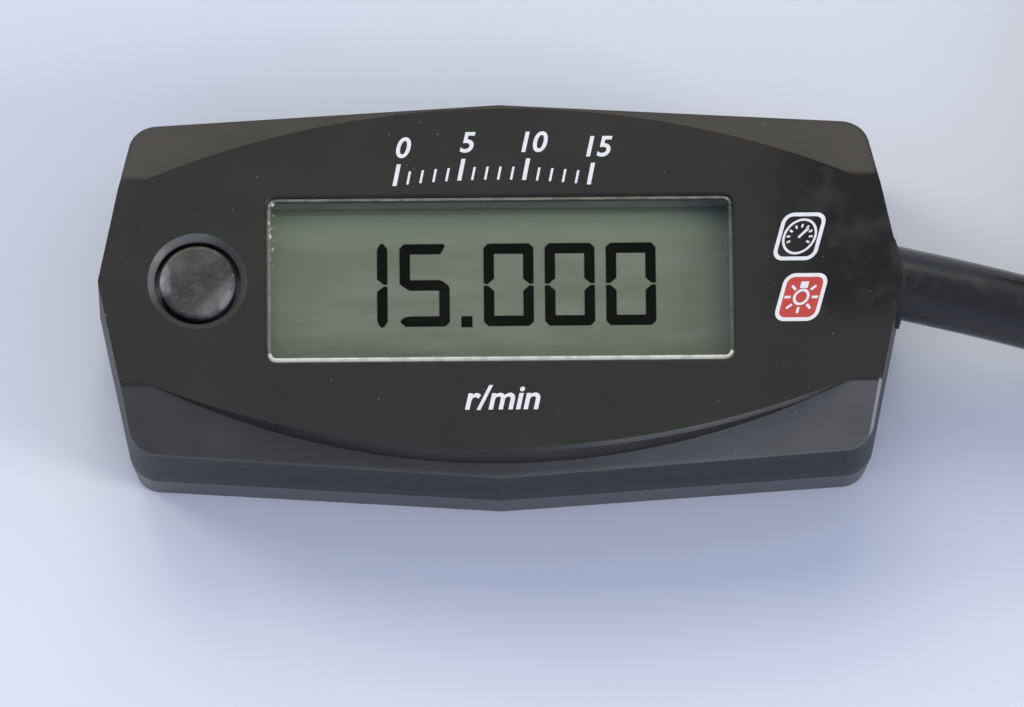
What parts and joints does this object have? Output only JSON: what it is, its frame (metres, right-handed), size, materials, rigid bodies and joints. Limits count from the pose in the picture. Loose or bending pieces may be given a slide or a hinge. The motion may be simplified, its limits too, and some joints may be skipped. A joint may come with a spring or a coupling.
{
  "type": "engine tachometer",
  "caption": "Low, eight-sided engine tachometer with a liquid crystal display, one round button, and a sleeved cable that ends in a connector.",
  "frame": {"origin": "middle of the housing's flat back, on the surface it lies on", "axes": "+X along the face towards the cable end, +Y towards the top of the display, +Z out of the face"},
  "size_m": [0.1426, 0.069, 0.0176],
  "materials": {
    "shell_plastic": "black moulded plastic, fine matt grain",
    "seal_rubber": "black rubber",
    "screw_steel": "plated steel",
    "clear_lens": "clear polished plastic",
    "polariser_film": "grey-green film",
    "display_glass": "grey-green display glass",
    "reflector_film": "satin silver film",
    "guide_plastic": "milky clear plastic",
    "lamp_body": "white body with a yellow gel",
    "contact_rubber": "layered conductive rubber",
    "frame_plastic": "white moulded plastic",
    "board_laminate": "green solder mask",
    "chip_plastic": "black moulded epoxy",
    "crystal_can": "drawn steel can",
    "capacitor_ceramic": "tan ceramic",
    "switch_plastic": "black moulded plastic",
    "plunger_plastic": "pale moulded plastic",
    "button_rubber": "dark speckled rubber",
    "cable_jacket": "black semi-gloss jacket",
    "wire_insulation": "coloured wire insulation",
    "connector_plastic": "black moulded nylon",
    "terminal_brass": "tinned brass"
  },
  "bodies": {
    "housing": {"front_shell": "shell_plastic", "back_cover": "shell_plastic", "cover_seal": "seal_rubber", "cover_screws": "screw_steel", "display_window": "clear_lens", "front_polariser": "polariser_film", "display_glass": "display_glass", "rear_reflector": "reflector_film", "light_guide": "guide_plastic", "backlight_lamps": "lamp_body", "upper_contact_strip": "contact_rubber", "lower_contact_strip": "contact_rubber", "display_frame": "frame_plastic", "circuit_board": "board_laminate", "microcontroller": "chip_plastic", "clock_crystal": "crystal_can", "voltage_regulator": "chip_plastic", "capacitors": "capacitor_ceramic", "key_switch": "switch_plastic", "cable_gland": "seal_rubber", "cable_lead": "cable_jacket", "lead_wires": "wire_insulation", "cable_coil": "cable_jacket", "connector_boot": "seal_rubber", "connector_housing": "connector_plastic", "connector_terminals": "terminal_brass"},
    "button": {"button_cap": "button_rubber"},
    "plunger": {"switch_plunger": "plunger_plastic"}
  },
  "joints": [
    {"name": "button_press", "type": "slide", "parent": "housing", "child": "button", "axis": [0, 0, -1], "range_m": [0, 0.0005], "stiffness_N_per_m": 800},
    {"name": "plunger_press", "type": "slide", "parent": "housing", "child": "plunger", "axis": [0, 0, -1], "range_m": [0, 0.0005]}
  ],
  "couplings": [
    {"joint": "plunger_press", "follows": "button_press", "ratio": 1}
  ]
}
